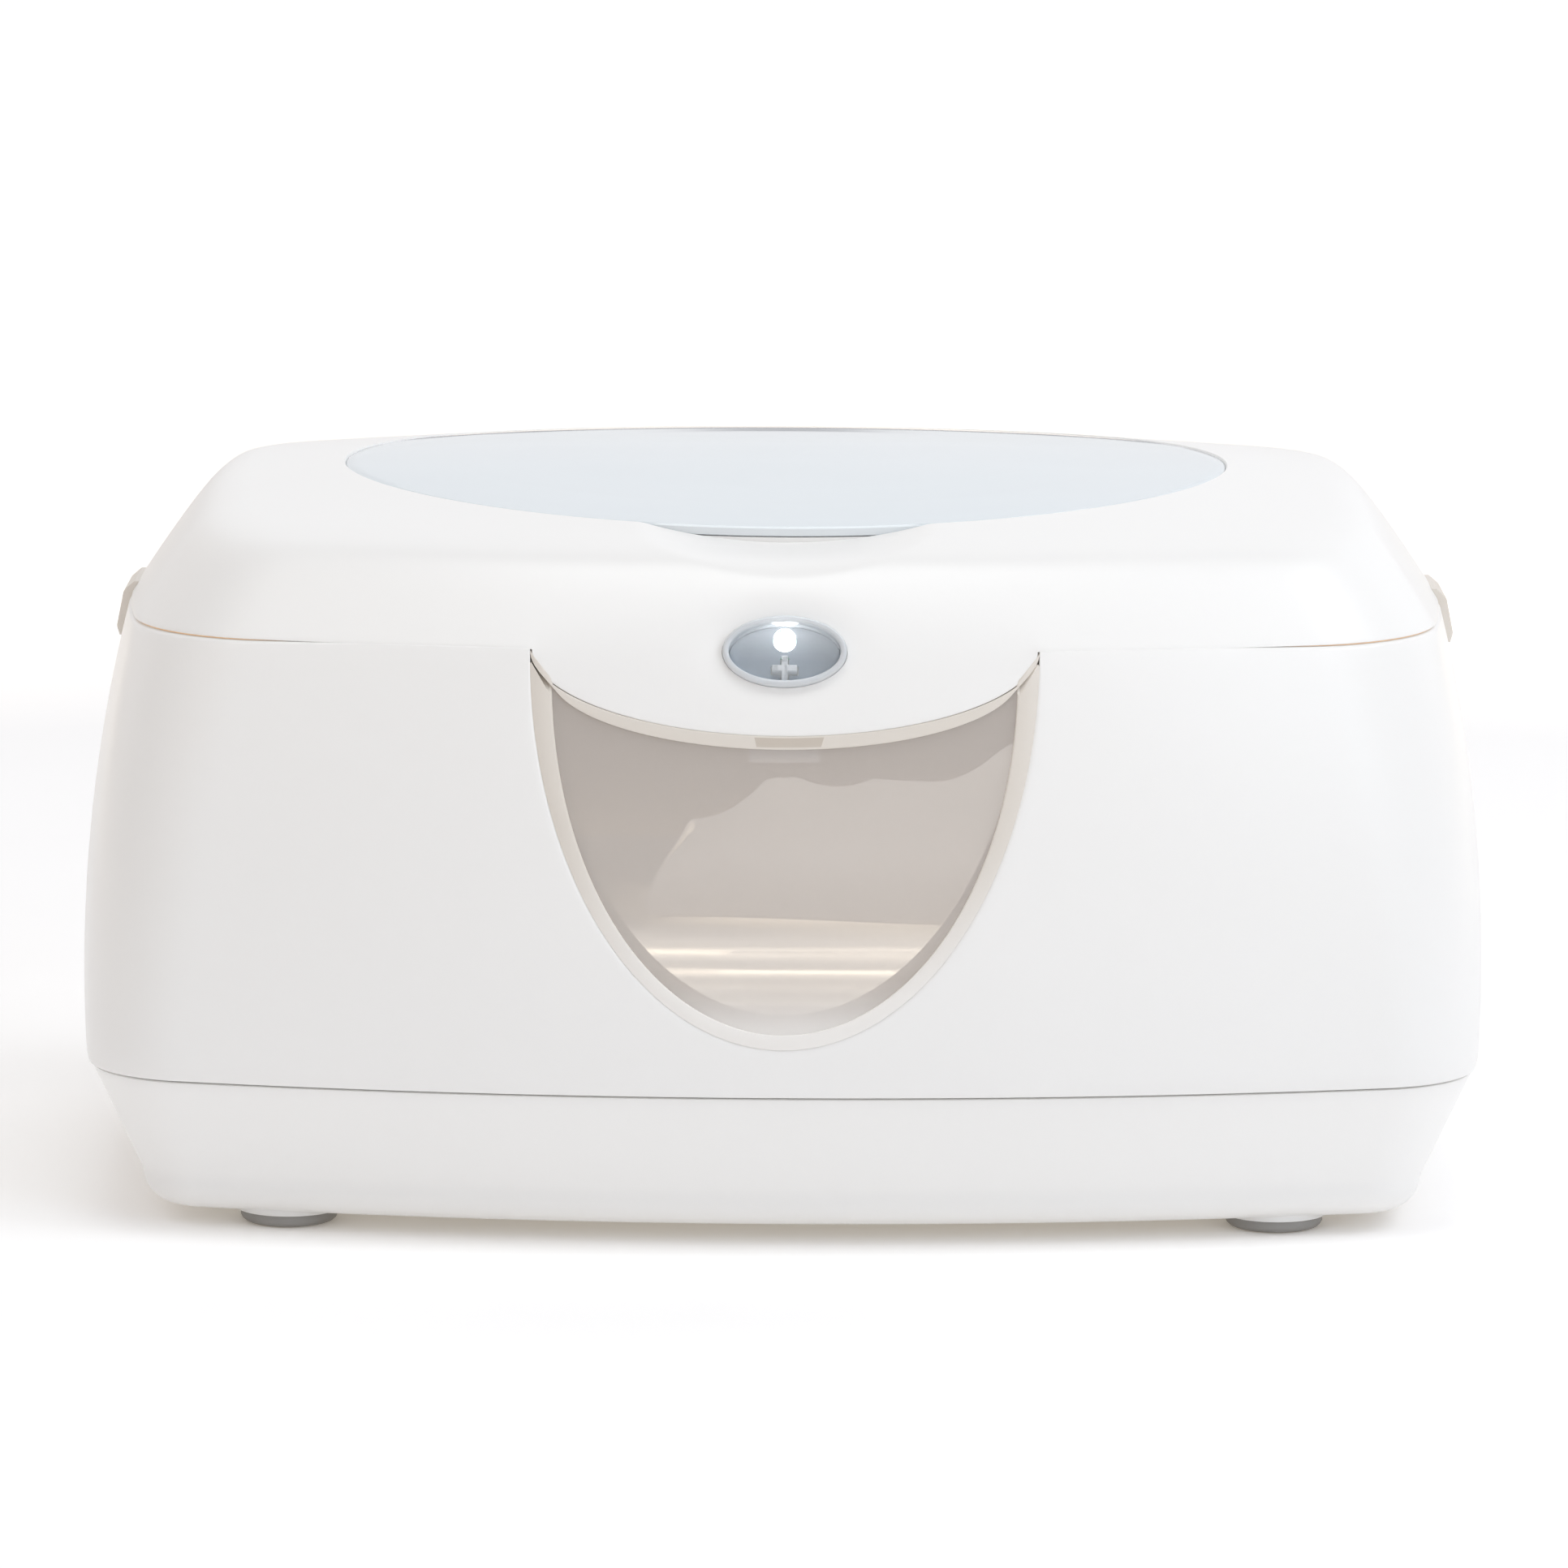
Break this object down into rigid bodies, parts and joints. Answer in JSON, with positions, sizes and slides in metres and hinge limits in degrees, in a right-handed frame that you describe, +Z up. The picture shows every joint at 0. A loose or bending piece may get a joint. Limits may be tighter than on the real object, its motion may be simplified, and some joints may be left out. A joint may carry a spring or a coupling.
{
  "type": "baby wipe warmer",
  "caption": "Bowed oblong wipe warmer with a hinged domed lid, a push button and latch, a translucent inner tub with a front window, and a heater under the lid.",
  "frame": {"origin": "on the table, under the middle of the body", "axes": "+Z up, +X to the user's right along the width, -Y towards the front, where the window and the button are"},
  "size_m": [0.2928, 0.198, 0.1519],
  "materials": {
    "white_plastic": "moulded, soft gloss",
    "translucent_plastic": "translucent moulded plastic",
    "frosted_lens": "translucent, polished",
    "clear_plastic": "clear, polished",
    "grey_rubber": "matt",
    "black_plastic": "matt",
    "steel": "zinc plated",
    "aluminium_sheet": "satin",
    "amber_film": "thin polyimide film",
    "insulation": "felted fibre",
    "circuit_board": "solder mask",
    "wipes": "damp non-woven sheet"
  },
  "bodies": {
    "housing": {"base_pan": "white_plastic", "foot_front_left": "grey_rubber", "foot_front_right": "grey_rubber", "foot_rear_left": "grey_rubber", "foot_rear_right": "grey_rubber", "base_screws": "steel", "outer_casing": "white_plastic", "inner_tub": "translucent_plastic", "wipe_stack": "wipes", "power_inlet": "black_plastic", "control_board": "circuit_board", "board_screws": "steel", "power_lead": "black_plastic", "hinge_pin_left": "steel", "hinge_pin_right": "steel"},
    "lid": {"lid_shell": "white_plastic", "top_lens": "frosted_lens", "lid_liner": "white_plastic", "lid_screws": "steel", "heater_plate": "aluminium_sheet", "heater_film": "amber_film", "insulation_pad": "insulation", "thermostat": "aluminium_sheet", "thermal_fuse": "steel", "heater_lead": "black_plastic", "lid_gasket": "grey_rubber", "button_bezel": "clear_plastic", "reflector": "clear_plastic", "led": "clear_plastic", "light_board": "circuit_board", "latch_pin": "steel", "latch_spring": "steel"},
    "button": {"button_cap": "clear_plastic"},
    "latch": {"latch_hook": "white_plastic"}
  },
  "joints": [
    {"name": "lid_hinge", "type": "hinge", "parent": "housing", "child": "lid", "pos_m": [0, 0.0924, 0.12205], "axis": [-1, 0, 0], "range_deg": [0, 95]},
    {"name": "button_press", "type": "slide", "parent": "lid", "child": "button", "axis": [0, 0.9397, -0.342], "range_m": [0, 0.0025], "stiffness_N_per_m": 400},
    {"name": "latch_turn", "type": "hinge", "parent": "lid", "child": "latch", "pos_m": [0, -0.07644, 0.13], "axis": [1, 0, 0], "range_deg": [0, 11]}
  ],
  "couplings": [
    {"joint": "latch_turn", "follows": "button_press", "rad_per_m": 76}
  ]
}
